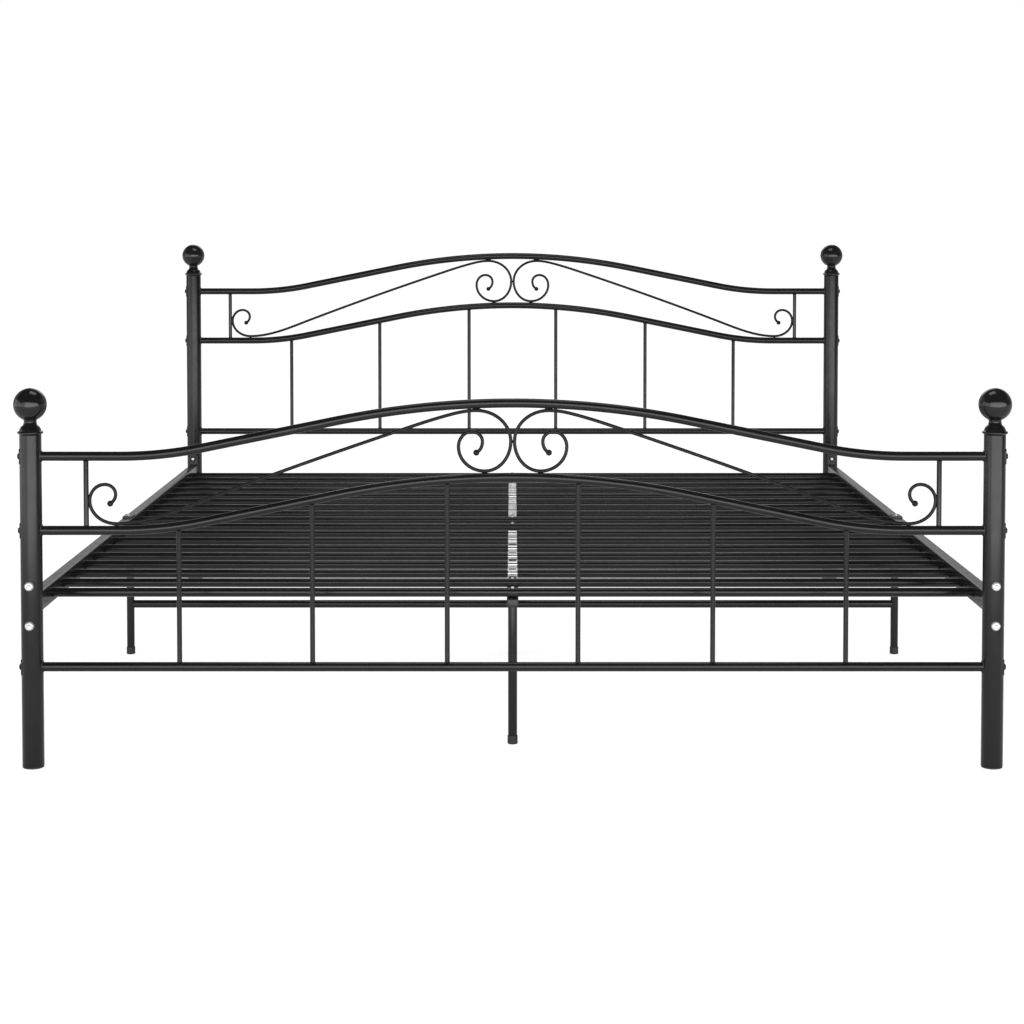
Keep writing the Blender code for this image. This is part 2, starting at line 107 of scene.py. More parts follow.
# The scroll wire's axis: distance from the panel's centre line, height above the lower
# rail, and heading in degrees.
SCROLL_STOPS = (
    (-0.0700, 0.4165, 25.0),
    (-0.0582, 0.4380, 90.0),
    (-0.0787, 0.4570, 180.0),
    (-0.1045, 0.4280, 270.0),
    (-0.0540, 0.3807, 0.0),
    (-0.0036, 0.4380, 90.0),
    (-0.0694, 0.4980, 180.0),
    (-0.1100, 0.4927, 193.8),
    (-0.1900, 0.4688, 198.5),
    (-0.6000, 0.3225, 201.0),
    (-0.7650, 0.2785, 180.0),
    (-0.8165, 0.3235, 90.0),
    (-0.7870, 0.3548, 0.0),
    (-0.7664, 0.3357, 270.0),
    (-0.7770, 0.3177, 209.0),
)

# Spots of weld on the scroll wire: distance from the panel's centre line, height above
# the lower rail, and half sizes.
SCROLL_WELDS = (
    (0.0694, 0.5014, (0.0075, 0.0026, 0.0009)),
    (0.0540, 0.3770, (0.0060, 0.0024, 0.0010)),
    (0.7650, 0.2749, (0.0030, 0.0016, 0.0006)),
    (0.8188, 0.3235, (0.0014, 0.0026, 0.0040)),
)
SCROLL_MIDDLE_WELD = (0.0010, 0.0022, 0.0030)

# Side rails, and the screws that hold them
SIDE_RAIL_HALF_WIDTH = 0.012
SIDE_RAIL_HALF_HEIGHT = 0.0195
SIDE_RAIL_CORNER = 0.0026
PLATE_THICKNESS = 0.0035
PLATE_HALF_WIDTH = 0.013
PLATE_HALF_HEIGHT = 0.050
PLATE_CORNER = 0.004
WELD_RADIUS = 0.0021
WELD_PITCH = 0.0024
BOLT_HEAD_HEIGHT = 0.0056
SCREW_RADIUS = 0.0040
THREAD_LENGTH = 0.0115
THREAD_PITCH = 0.00125
THREAD_CREST = 0.0039
THREAD_ROOT = 0.0034
WASHER_PROFILE = ((0.0042, -0.0026), (0.0103, -0.0026), (0.0103, 0.0007), (0.0042, 0.0007))
NUT_HALF_WIDTH = 0.0062
NUT_HEIGHT = 0.0062

# Bolt heads: radius, height, half width of the socket, depth of the socket.
RAIL_BOLT_HEAD = (0.0087, 0.0050, 0.0037, 0.0030)
PANEL_BOLT_HEAD = (0.0062, 0.0034, 0.0021, 0.0018)
SLAT_BOLT_HEAD = (0.0036, 0.0024, 0.0013, 0.0011)
MID_LEG_BOLT_HEAD = (0.0046, 0.0032, 0.0017, 0.0015)
SHORT_SHANK = 0.004

# Thin plates bent round a tube: half size round the tube, half size along it, thickness.
RAIL_SHOE = (0.0125, 0.0150, 0.0014)
PANEL_WASHER = (0.0085, 0.0112, 0.0011)
PIN_CLIP = (0.0082, 0.0093, 0.0008)
SLAT_CRADLE = (0.0150, 0.0105, 0.0014)

# Slats and legs
SLAT_RADIUS = 0.0091
SLAT_COUNT = 18
SUPPORTED_PAIRS = {"foot": (0, 1), "middle": (8, 9), "head": (16, 17)}
SUPPORTED_SLATS = [index for pair in SUPPORTED_PAIRS.values() for index in pair]
CLIPPED_SLATS = (2, 4, 6)
PIN_HALF_LENGTH = 0.0100
PIN_RADIUS = 0.0082
PIN_INSIDE = 0.006
LEG_RADIUS = 0.0092
LEG_CAP_RADIUS = 0.0103
LEG_CAP_HEIGHT = 0.017
LEG_CAP_FLOOR = 0.003
LEG_TUBE_START = 0.006
BRACE_INSIDE = 0.004
TRAY_WALL = 0.0018
MID_LEG_CAP_Y = -0.016
MID_LEG_CAP_HALF_WIDTH = 0.0117
MID_LEG_CAP_HALF_LENGTH = 0.0230
MID_LEG_CAP_RISE = 0.0042

# The usual rounding of a cut or moulded edge, and the angle above which one looks sharp
EDGE = 0.0006
SHARP_ANGLE = 38


# --- shapes --------------------------------------------------------------------------


def loft(shape, rings, closed=False):
    """Join neighbouring rings with faces. A ring of one point closes the end."""
    rows = [[shape.verts.new(point) for point in ring] for ring in rings]
    pairs = list(zip(rows, rows[1:]))
    if closed:
        pairs.append((rows[-1], rows[0]))
    for near, far in pairs:
        count = max(len(near), len(far))
        for i in range(count):
            j = (i + 1) % count
            corners = (
                near[i % len(near)],
                near[j % len(near)],
                far[j % len(far)],
                far[i % len(far)],
            )
            shape.faces.new(list(dict.fromkeys(corners)))


def hexagon(angle):
    """Distance to the edge of a hexagon whose flats are 1 from its middle."""
    return 1 / math.cos(angle % (math.pi / 3) - math.pi / 6)


def turned(shape, profile, sides, place, closed=False):
    """Turn (radius, height) points about the place's Z. A third value bends the ring
    from a circle, 0, to a hexagon, 1."""
    rings = []
    for radius, height, *rest in profile:
        share = rest[0] if rest else 0.0
        if radius < 1e-7:
            rings.append([place @ Vector((0.0, 0.0, height))])
            continue
        ring = []
        for i in range(sides):
            angle = math.tau * i / sides
            reach = radius * (1 + share * (hexagon(angle) - 1))
            ring.append(place @ Vector((reach * math.cos(angle), reach * math.sin(angle), height)))
        rings.append(ring)
    loft(shape, rings, closed)


def soften(points, radius, steps=3, closed=False):
    """Round the corners of a line of (a, b) points."""
    vectors = [Vector(point) for point in points]
    count = len(vectors)
    softened = []
    for i, corner in enumerate(vectors):
        if not closed and i in (0, count - 1):
            softened.append(tuple(corner))
            continue
        before = vectors[i - 1] - corner
        after = vectors[(i + 1) % count] - corner
        reach = min(radius, 0.45 * before.length, 0.45 * after.length)
        start = corner + before.normalized() * reach
        end = corner + after.normalized() * reach
        for step in range(steps + 1):
            t = step / steps
            softened.append(tuple((1 - t) ** 2 * start + 2 * t * (1 - t) * corner + t * t * end))
    return softened


def sweep(shape, points, radii, sides):
    """A round bar along points that lie in a plane of constant Y."""
    across = Vector((0.0, 1.0, 0.0))
    rings = [[points[0]]]
    for i, point in enumerate(points):
        ahead = points[min(i + 1, len(points) - 1)] - points[max(i - 1, 0)]
        up = ahead.normalized().cross(across)
        radius = radii[i] if isinstance(radii, list) else radii
        rings.append(
            [
                point
                + radius * math.cos(math.tau * k / sides) * across
                + radius * math.sin(math.tau * k / sides) * up
                for k in range(sides)
            ]
        )
    rings.append([points[-1]])
    loft(shape, rings)


def rounded_box_ring(half_a, half_b, corner, steps):
    """Outline of a rounded rectangle as (a, b) points."""
    points = []
    for quarter in range(4):
        turn = quarter * math.pi / 2
        sign_a = 1 if quarter in (0, 3) else -1
        sign_b = 1 if quarter in (0, 1) else -1
        for step in range(steps + 1):
            angle = turn + math.pi / 2 * step / steps
            points.append(
                (
                    sign_a * (half_a - corner) + corner * math.cos(angle),
                    sign_b * (half_b - corner) + corner * math.sin(angle),
                )
            )
    return points


def saddle(shape, place, radius, half_round, half_along, thickness):
    """A thin shoe bent round the place's Z at radius, centred on its own +X."""
    corner = min(half_round, half_along) * 0.45
    outline = rounded_box_ring(half_round, half_along, corner, 6)
    edge = thickness * 0.45
    layers = [
        (1.0, -EDGE),
        (1.0, thickness - edge),
        (1.0 - 0.3 * edge / half_round, thickness - 0.3 * edge),
        (1.0 - edge / half_round, thickness),
        (0.72, thickness),
        (0.4, thickness),
    ]
    rings = [[bent(place, radius - EDGE, 0.0, 0.0)]]
    for scale, rise in layers:
        rings.append([bent(place, radius + rise, a * scale, b * scale) for a, b in outline])
    rings.append([bent(place, radius + thickness, 0.0, 0.0)])
    loft(shape, rings)


def bent(place, radius, around, along):
    """A point on a cylinder about the place's Z, around metres round from +X."""
    angle = around / radius
    return place @ Vector((radius * math.cos(angle), radius * math.sin(angle), along))


def bead(shape, centre, size, seed):
    """A small uneven lump of weld."""
    made = bmesh.ops.create_icosphere(shape, subdivisions=3, radius=1.0)
    for vert in made["verts"]:
        bump = 1 + 0.16 * noise.noise(vert.co * 1.7 + Vector((seed, 0.0, 0.0)))
        vert.co = Vector(c * s for c, s in zip(vert.co * bump, size)) + Vector(centre)


def weld_collar(radius, spread, height):
    """Profile of the small fillet of weld round a bar that ends on a tube."""
    steps = 5
    return [
        (radius + spread * (1 - math.sin(math.pi / 2 * k / steps)), height * k / steps)
        for k in range(steps + 1)
    ]


def add_piece(name, build, finish, replaces=()):
    """A piece of the bed made by build, which fills an empty bmesh."""
    mesh = bpy.data.meshes.new(name)
    shape = bmesh.new()
    build(shape)
    bmesh.ops.recalc_face_normals(shape, faces=shape.faces)
    shape.to_mesh(mesh)
    shape.free()
    mesh.materials.append(finish)
    mesh.shade_smooth()
    mesh.set_sharp_from_angle(angle=math.radians(SHARP_ANGLE))
    piece = bpy.data.objects.new(name, mesh)
    bpy.context.scene.collection.objects.link(piece)
    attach(piece, "root")
    if replaces:
        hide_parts(*replaces)


def upright(x, y, z=0.0):
    """A place that stands at a point."""
    return Matrix.Translation((x, y, z))


def facing(point, direction):
    """A place at a point whose Z looks along direction."""
    turn = Vector(direction).to_track_quat("Z", "Y").to_matrix().to_4x4()
    return Matrix.Translation(point) @ turn


def facing_down(place):
    """Turn a level tube's place about its own axis, so that its X side faces the floor."""
    down = place.to_3x3().inverted() @ Vector((0, 0, -1))
    return place @ Matrix.Rotation(math.atan2(down.y, down.x), 4, "Z")


# --- materials -----------------------------------------------------------------------


def add_node(tree, kind, inputs=None, **settings):
    """A node with its settings, values and incoming links."""
    node = tree.nodes.new(kind)
    for key, value in settings.items():
        setattr(node, key, value)
    for key, value in (inputs or {}).items():
        if isinstance(value, bpy.types.NodeSocket):
            tree.links.new(value, node.inputs[key])
        else:
            node.inputs[key].default_value = value
    return node


def cloud(tree, where, scale, detail):
    """Noise of features about 1 / scale metres across."""
    return add_node(
        tree,
        "ShaderNodeTexNoise",
        {"Vector": where, "Scale": scale, "Detail": detail, "Roughness": 0.55},
    ).outputs["Fac"]


def span(tree, value, low, high, to_low, to_high):
    """Map a value's range onto another, clamped."""
    return add_node(
        tree,
        "ShaderNodeMapRange",
        {
            "Value": value,
            "From Min": low,
            "From Max": high,
            "To Min": to_low,
            "To Max": to_high,
        },
    ).outputs["Result"]


def blend(tree, share, first, second):
    """Mix two colours, given as sockets or as (r, g, b)."""
    node = add_node(tree, "ShaderNodeMix", data_type="RGBA")
    factor, colour_a, colour_b = node.inputs[0], node.inputs[6], node.inputs[7]
    for socket, value in ((factor, share), (colour_a, first), (colour_b, second)):
        if isinstance(value, bpy.types.NodeSocket):
            tree.links.new(value, socket)
        elif isinstance(value, tuple):
            socket.default_value = (*value, 1.0)
        else:
            socket.default_value = value
    return node.outputs[2]


def combine(tree, operation, first, second):
    """A Math node of two values."""
    return add_node(tree, "ShaderNodeMath", {0: first, 1: second}, operation=operation).outputs[0]


def edge_mask(tree, width):
    """1 on edges sharper than about width, 0 on flat or gently round faces."""
    bevel = add_node(tree, "ShaderNodeBevel", {"Radius": width}, samples=4)
    flat = add_node(tree, "ShaderNodeNewGeometry")
    dot = add_node(
        tree,
        "ShaderNodeVectorMath",
        {0: bevel.outputs["Normal"], 1: flat.outputs["Normal"]},
        operation="DOT_PRODUCT",
    )
    return span(tree, dot.outputs["Value"], 0.995, 0.90, 0.0, 1.0)


# Scales of the noise in the finishes, in features to the metre, from broad to fine
BROAD_SCALE = 9.0
SMUDGE_SCALE = 38.0
WEAR_SCALE = 160.0
FINE_SCALE = 420.0
WORN_WIDTH = 0.0009
WORN_ROUGHNESS = 0.12


def new_finish(name, dark, light, rough, grain, worn, wear_share, **shader_values):
    """A finish with colour variation, cloudy roughness, a bumpy grain and worn edges.

    rough is (low, high); grain is (scale, depth) pairs; shader_values go on the shader.
    """
    material = bpy.data.materials.new(name)
    material.use_nodes = True
    tree = material.node_tree
    shader = tree.nodes["Principled BSDF"]
    where = add_node(tree, "ShaderNodeTexCoord").outputs["Object"]
    broad = cloud(tree, where, BROAD_SCALE, 4.0)
    fine = cloud(tree, where, FINE_SCALE, 2.0)
    broad = combine(tree, "MULTIPLY", broad, 0.6)
    fine = combine(tree, "MULTIPLY", fine, 0.4)
    mottle = combine(tree, "ADD", broad, fine)
    colour = blend(tree, span(tree, mottle, 0.38, 0.62, 0.0, 1.0), dark, light)
    patch = span(tree, cloud(tree, where, WEAR_SCALE, 3.0), 0.42, 0.66, 0.0, wear_share)
    wear = combine(tree, "MULTIPLY", edge_mask(tree, WORN_WIDTH), patch)
    tree.links.new(blend(tree, wear, colour, worn), shader.inputs["Base Color"])
    smudge = cloud(tree, where, SMUDGE_SCALE, 5.0)
    roughness = span(tree, smudge, 0.35, 0.65, rough[0], rough[1])
    roughness = combine(tree, "ADD", roughness, combine(tree, "MULTIPLY", wear, WORN_ROUGHNESS))
    tree.links.new(roughness, shader.inputs["Roughness"])
    normal = None
    for scale, depth in grain:
        values = {"Height": cloud(tree, where, scale, 2.0), "Distance": depth, "Strength": 1.0}
        if normal:
            values["Normal"] = normal
        normal = add_node(tree, "ShaderNodeBump", values).outputs["Normal"]
    tree.links.new(normal, shader.inputs["Normal"])
    for key, value in shader_values.items():
        shader.inputs[key.replace("_", " ")].default_value = value
    return material


COAT = new_finish(
    "satin_black_powder_coat",
    dark=(0.0038, 0.0038, 0.0040),
    light=(0.0068, 0.0068, 0.0071),
    rough=(0.19, 0.26),
    grain=((850.0, 0.000012), (210.0, 0.00003)),
    worn=(0.035, 0.035, 0.036),
    wear_share=0.7,
    IOR=1.46,
)
WIRE_COAT = new_finish(
    "black_powder_coat_on_wire",
    dark=(0.0034, 0.0034, 0.0036),
    light=(0.0060, 0.0060, 0.0063),
    rough=(0.30, 0.38),
    grain=((900.0, 0.000012), (240.0, 0.00003)),
    worn=(0.030, 0.030, 0.031),
    wear_share=0.6,
    IOR=1.36,
)
GLOSS = new_finish(
    "gloss_black_plastic",
    dark=(0.0050, 0.0050, 0.0052),
    light=(0.0080, 0.0080, 0.0084),
    rough=(0.09, 0.15),
    grain=((60.0, 0.00002), (1400.0, 0.000002)),
    worn=(0.02, 0.02, 0.02),
    wear_share=0.5,
    IOR=1.50,
)
MATT = new_finish(
    "matt_black_plastic",
    dark=(0.012, 0.012, 0.012),
    light=(0.020, 0.020, 0.020),
    rough=(0.50, 0.62),
    grain=((1500.0, 0.000025), (300.0, 0.00002)),
    worn=(0.05, 0.05, 0.05),
    wear_share=0.6,
    IOR=1.49,
)
ZINC = new_finish(
    "bright_zinc_plate",
    dark=(0.60, 0.60, 0.61),
    light=(0.76, 0.76, 0.75),
    rough=(0.22, 0.31),
    grain=((2600.0, 0.000006), (500.0, 0.000008)),
    worn=(0.94, 0.94, 0.94),
    wear_share=0.8,
    Metallic=0.70,
)
PIN_ZINC = new_finish(
    "bright_zinc_plate_on_pins",
    dark=(0.64, 0.64, 0.65),
    light=(0.80, 0.80, 0.79),
    rough=(0.17, 0.25),
    grain=((2600.0, 0.000006), (500.0, 0.000008)),
    worn=(0.94, 0.94, 0.94),
    wear_share=0.8,
    Metallic=0.92,
)


# --- posts ---------------------------------------------------------------------------


def middle_of(node):
    """The middle of a CAD node's box."""
    low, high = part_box(node)
    return (low + high) / 2


def add_post(panel, side):
    """The post's tube, its finial and its glide."""
    low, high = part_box(f"{panel}_post_{side}")
    axis = (low + high) / 2
    place = upright(axis.x, axis.y)
    inner = POST_RADIUS - POST_WALL
    wall = [(POST_RADIUS, high.z), (POST_RADIUS, low.z), (inner, low.z), (inner, high.z)]
    wall = soften(wall, EDGE, closed=True)
    add_piece(
        f"{panel}_post_{side}_tube",
        lambda shape: turned(shape, wall, 72, place, closed=True),
        COAT,
        [f"{panel}_post_{side}"],
    )
    add_finial(panel, side, axis, high.z)
    add_glide(panel, side, place, low.z)


def add_finial(panel, side, axis, seat):
    """A ball on a waisted neck, over a domed cap with a flared rim."""
    name = f"{panel}_finial_{side}"
    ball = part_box(name)[1].z - BALL_RADIUS
    start = -math.acos((NECK_RADIUS + 0.0004) / BALL_RADIUS)
    steps = 40
    profile = []
    for step in range(steps + 1):
        angle = math.pi / 2 + (start - math.pi / 2) * step / steps
        radius = BALL_RADIUS * math.cos(angle) if step else 0.0
        profile.append((radius, BALL_RADIUS * math.sin(angle)))
    profile += NECK_PROFILE
    under = seat - ball
    rim = [*RIM_PROFILE, (RIM_SEAT_RADIUS, under), (PLUG_RADIUS, under)]
    rim += [(PLUG_RADIUS, under - PLUG_DEPTH), (0.0, under - PLUG_DEPTH)]
    profile += soften(rim, 0.0010, 4)[1:]
    add_piece(
        f"{name}_knob",
        lambda shape: turned(shape, profile, 72, upright(axis.x, axis.y, ball)),
        GLOSS,
        [name],
    )


def add_glide(panel, side, place, seat):
    """The plug that the post stands on."""
    top = seat + PLUG_DEPTH
    flange = seat - 0.0002
    outline = [(0.0, top), (PLUG_RADIUS, top), (PLUG_RADIUS, flange), (GLIDE_RADIUS, flange)]
    outline += [(GLIDE_RADIUS, 0.0006), (GLIDE_RADIUS - 0.0007, 0.0), (0.0, 0.0)]
    profile = soften(outline, EDGE)
    add_piece(
        f"{panel}_glide_{side}_foot",
        lambda shape: turned(shape, profile, 64, place),
        MATT,
        [f"{panel}_glide_{side}"],
    )


# --- panels --------------------------------------------------------------------------


def bend_rise(x):
    """How far an arched rail has risen at x: flat end, bend, slope, then the crown."""
    distance = abs(x)
    bend_end = BEND_START - BEND_RADIUS * math.sin(SLOPE)
    crown_start = CROWN_RADIUS * math.sin(SLOPE)
    if distance >= BEND_START:
        return 0.0
    if distance >= bend_end:
        return BEND_RADIUS - math.sqrt(BEND_RADIUS**2 - (BEND_START - distance) ** 2)
    rise = BEND_RADIUS * (1 - math.cos(SLOPE))
    if distance >= crown_start:
        return rise + (bend_end - distance) * math.tan(SLOPE)
    rise += (bend_end - crown_start) * math.tan(SLOPE)
    crown_drop = CROWN_RADIUS - math.sqrt(CROWN_RADIUS**2 - distance**2)
    return rise + CROWN_RADIUS * (1 - math.cos(SLOPE)) - crown_drop


def rail_stations(reach, curved):
    """X places along a rail that ends reach from the middle."""
    if not curved:
        return [-reach + 2 * reach * i / 12 for i in range(13)]
    count = 76
    inner = [-BEND_START + 2 * BEND_START * i / (2 * count) for i in range(2 * count + 1)]
    ends = [reach - (reach - BEND_START) * i / 3 for i in range(3)]
    return [-x for x in ends] + inner + ends[::-1]


def add_rail(panel, level, y, post_x, height, curved):
    """A panel's cross tube, whose ends go into the posts' walls."""
    reach = post_x - POST_RADIUS + RAIL_INTO_POST
    points = [
        Vector((x, y, height + (bend_rise(x) if curved else 0.0)))
        for x in rail_stations(reach, curved)
    ]
    name = f"{panel}_{level}_rail"
    add_piece(
        f"{name}_tube",
        lambda shape: sweep(shape, points, RAIL_RADIUS, 32),
        COAT,
        [name],
    )
    for side, sign in SIDES.items():
        add_rail_end(name, side, sign, Vector((sign * post_x, y, height)))


def add_rail_end(name, side, sign, point):
    """The shoe between a rail and its post, and the bolt on the post's outer side."""
    inward = facing(point, (0, 0, 1)) @ Matrix.Rotation(math.pi if sign > 0 else 0.0, 4, "Z")
    outward = inward @ Matrix.Rotation(math.pi, 4, "Z")
    add_piece(
        f"{name}_shoe_{side}",
        lambda shape: saddle(shape, inward, POST_RADIUS, *RAIL_SHOE),
        COAT,
    )
    add_piece(
        f"{name}_washer_{side}",
        lambda shape: saddle(shape, outward, POST_RADIUS, *PANEL_WASHER),
        COAT,
    )
    place = facing(point + Vector((sign * (POST_RADIUS + 0.0008), 0, 0)), (sign, 0, 0))
    head = button_head(*PANEL_BOLT_HEAD) + [(0.0030, -SHORT_SHANK), (0.0, -SHORT_SHANK)]
    add_piece(
        f"{name}_bolt_{side}",
        lambda shape: turned(shape, head, 48, place),
        COAT,
    )


def button_head(radius, height, socket, depth):
    """Profile of a domed bolt head with a hexagon socket, from the socket's floor out."""
    profile = [(0.0, height - depth - 0.3 * socket), (socket * 0.8, height - depth, 1.0)]
    profile += [(socket, height - depth + 0.0001, 1.0), (socket, height - 0.0004, 1.0)]
    profile += [(socket + 0.0003, height - 0.0001, 0.9), (socket * 1.3 + 0.0003, height - 0.0001)]
    steps = 9
    flat = socket * 1.35 + 0.0004
    for step in range(1, steps + 1):
        angle = math.pi / 2 * step / steps
        profile.append(
            (
                flat + (radius - flat) * math.sin(angle),
                0.0006 + (height - 0.0006) * math.cos(angle),
            )
        )
    profile += [(radius, 0.0003), (radius - 0.0003, 0.0)]
    return profile


def short_shank(radius):
    """Profile of a bolt's shank below its head, hidden in the tube that it holds."""
    return [(radius, 0.0), (radius, -SHORT_SHANK), (0.0, -SHORT_SHANK)]


def rod_places():
    """X places of the upright rods, from left to right."""
    return [-x for x in reversed(ROD_DISTANCES)] + list(ROD_DISTANCES)


def upright_bar(radius, low, high):
    """Profile of a bar between two tubes' axes, with a fillet of weld at each tube."""
    bottom = low + RAIL_RADIUS - BAR_SUNK
    top = high - RAIL_RADIUS + BAR_SUNK
    collar = weld_collar(radius, COLLAR_SPREAD, COLLAR_HEIGHT)
    profile = [(0.0, bottom)] + [(r, bottom + h) for r, h in collar]
    profile += [(r, top - h) for r, h in reversed(collar)] + [(0.0, top)]
    return profile


def add_bar(name, radius, x, y, low, high):
    """An upright bar welded between two rails."""
    profile = upright_bar(radius, low, high)
    add_piece(
        name,
        lambda shape: turned(shape, profile, 24, upright(x, y)),
        COAT,
    )


def heading(degrees):
    """Unit vector at an angle."""
    return Vector((math.cos(math.radians(degrees)), math.sin(math.radians(degrees))))


def handle_ratio(turn):
    """Length of a cubic curve's handle over its chord, for a circular turn in radians."""
    if abs(turn) < 0.01:
        return 1 / 3
    return 2 / 3 * math.tan(turn / 4) / math.sin(turn / 2)


def scroll_line():
    """The scroll wire's axis in the panel's plane, as cubic curves."""
    points = []
    for start, end in zip(SCROLL_STOPS, SCROLL_STOPS[1:]):
        first = Vector(start[:2])
        last = Vector(end[:2])
        turn = math.radians((end[2] - start[2] + 180) % 360 - 180)
        reach = (last - first).length * handle_ratio(turn)
        steps = max(12, int((last - first).length / 0.008))
        leave = first + reach * heading(start[2])
        arrive = last - reach * heading(end[2])
        points += interpolate_bezier(first, leave, arrive, last, steps + 1)[:-1]
    points.append(Vector(SCROLL_STOPS[-1][:2]))
    return points


def ball_end(points):
    """Replace the start of a line with stations of a small ball. Gives points and radii."""
    end = points[0]
    waist = math.sqrt(SCROLL_BALL_RADIUS**2 - SCROLL_RADIUS**2)
    kept = [point for point in points if (point - end).length > waist + 0.0004]
    out = (end - kept[0]).normalized()
    stations = []
    radii = []
    steps = 9
    limit = math.acos(-waist / SCROLL_BALL_RADIUS)
    for step in range(steps + 1):
        angle = 0.02 + (limit - 0.02) * step / steps
        stations.append(end + out * SCROLL_BALL_RADIUS * math.cos(angle))
        radii.append(SCROLL_BALL_RADIUS * math.sin(angle))
    return stations + kept, radii + [SCROLL_RADIUS] * len(kept)


def add_scroll(panel, side, y, base):
    """The bent wire with a ball at each end, and the spots of weld that hold it."""
    sign = SIDES[side]
    flat = scroll_line()
    points, radii = ball_end(flat)
    tail, tail_radii = ball_end(points[::-1][: len(points) // 2])
    head_count = len(points) - len(points) // 2
    points = points[:head_count] + tail[::-1]
    radii = radii[:head_count] + tail_radii[::-1]
    placed = [Vector((-sign * p[0], y, base + p[1])) for p in points]
    name = f"{panel}_scrollwork_{side}"
    add_piece(
        f"{name}_wire",
        lambda shape: sweep(shape, placed, radii, 16),
        WIRE_COAT,
        [name],
    )

    def spots_of_weld(shape):
        for index, (x, rise, size) in enumerate(SCROLL_WELDS):
            bead(shape, (sign * x, y, base + rise), size, index + 7 * sign)

    add_piece(f"{name}_welds", spots_of_weld, WIRE_COAT)


def add_panel(panel):
    """One end of the bed: posts, rails, rods and scrollwork."""
    y = middle_of(f"{panel}_post_left").y
    post_x = middle_of(f"{panel}_post_right").x
    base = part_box(f"{panel}_lower_rail")[0].z + RAIL_RADIUS
    for side in SIDES:
        add_post(panel, side)
        add_scroll(panel, side, y, base)
        add_bar(
            f"{panel}_end_bar_{side}",
            END_BAR_RADIUS,
            SIDES[side] * END_BAR_X,
            y,
            base + MIDDLE_RAIL_RISE,
            base + TOP_RAIL_RISE,
        )
    add_rail(panel, "lower", y, post_x, base, False)
    add_rail(panel, "middle", y, post_x, base + MIDDLE_RAIL_RISE, True)
    add_rail(panel, "top", y, post_x, base + TOP_RAIL_RISE, True)
    for index, x in enumerate(rod_places()):
        high = base + MIDDLE_RAIL_RISE + bend_rise(x)
        add_bar(f"{panel}_rod_{index + 1}", ROD_RADIUS, x, y, base, high)

    def middle_weld(shape):
        bead(shape, (0.0, y, base + SCROLL_MIDDLE_RISE), SCROLL_MIDDLE_WELD, 3.0)

    add_piece(f"{panel}_scroll_middle_weld", middle_weld, WIRE_COAT)


# --- side rails ----------------------------------------------------------------------


def box_tube(shape, x, z, half_x, half_z, corner, y_from, y_to):
    """A rounded rectangular bar along Y."""
    outline = rounded_box_ring(half_x, half_z, corner, 6)
    inset = 0.0008
    rings = [[Vector((x, y_from, z))]]
    sign = 1 if y_to > y_from else -1
    for y, shrink in (
        (y_from, inset),
        (y_from + sign * inset, 0.0),
        ((y_from + y_to) / 2, 0.0),
        (y_to - sign * inset, 0.0),
        (y_to, inset),
    ):
        scale_x = 1 - shrink / half_x
        scale_z = 1 - shrink / half_z
        rings.append([Vector((x + a * scale_x, y, z + b * scale_z)) for a, b in outline])
    rings.append([Vector((x, y_to, z))])
    loft(shape, rings)


def weld_run(shape, corners, size, pitch, seed):
    """Scallops of weld along straight runs between corners."""
    number = 0
    for start, end in zip(corners, corners[1:]):
        run = Vector(end) - Vector(start)
        count = max(2, round(run.length / pitch))
        for i in range(count):
            centre = Vector(start) + run * ((i + 0.5) / count)
            bead(shape, centre, (size, size, size), seed + 1.7 * number)
            number += 1


def add_side_rail(side):
    """A rectangular tube with a plate and a run of weld at each end."""
    name = f"side_rail_{side}"
    low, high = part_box(name)
    x = (low.x + high.x) / 2
    z = (low.z + high.z) / 2
    plate = PLATE_THICKNESS
    half_x, half_z = SIDE_RAIL_HALF_WIDTH, SIDE_RAIL_HALF_HEIGHT

    def tube(shape):
        ends = (low.y + plate * 0.6, high.y - plate * 0.6)
        box_tube(shape, x, z, half_x, half_z, SIDE_RAIL_CORNER, *ends)

    add_piece(f"{name}_tube", tube, COAT, [name])
    for panel, sign in PANELS.items():
        face = high.y if sign > 0 else low.y

        def end_plate(shape):
            size = (PLATE_HALF_WIDTH, PLATE_HALF_HEIGHT, PLATE_CORNER)
            box_tube(shape, x, z, *size, face, face - sign * plate)

        add_piece(f"{name}_{panel}_plate", end_plate, COAT)

        def welds(shape):
            y = face - sign * (plate + 0.0004)
            corners = [
                (x - half_x + 0.002, y, z + half_z),
                (x + half_x - 0.002, y, z + half_z),
            ]
            weld_run(shape, corners, WELD_RADIUS, WELD_PITCH, 2.0)
            corners = [(a, b, 2 * z - c) for a, b, c in corners]
            weld_run(shape, corners, WELD_RADIUS, WELD_PITCH, 9.0)

        add_piece(f"{name}_{panel}_weld", welds, COAT)


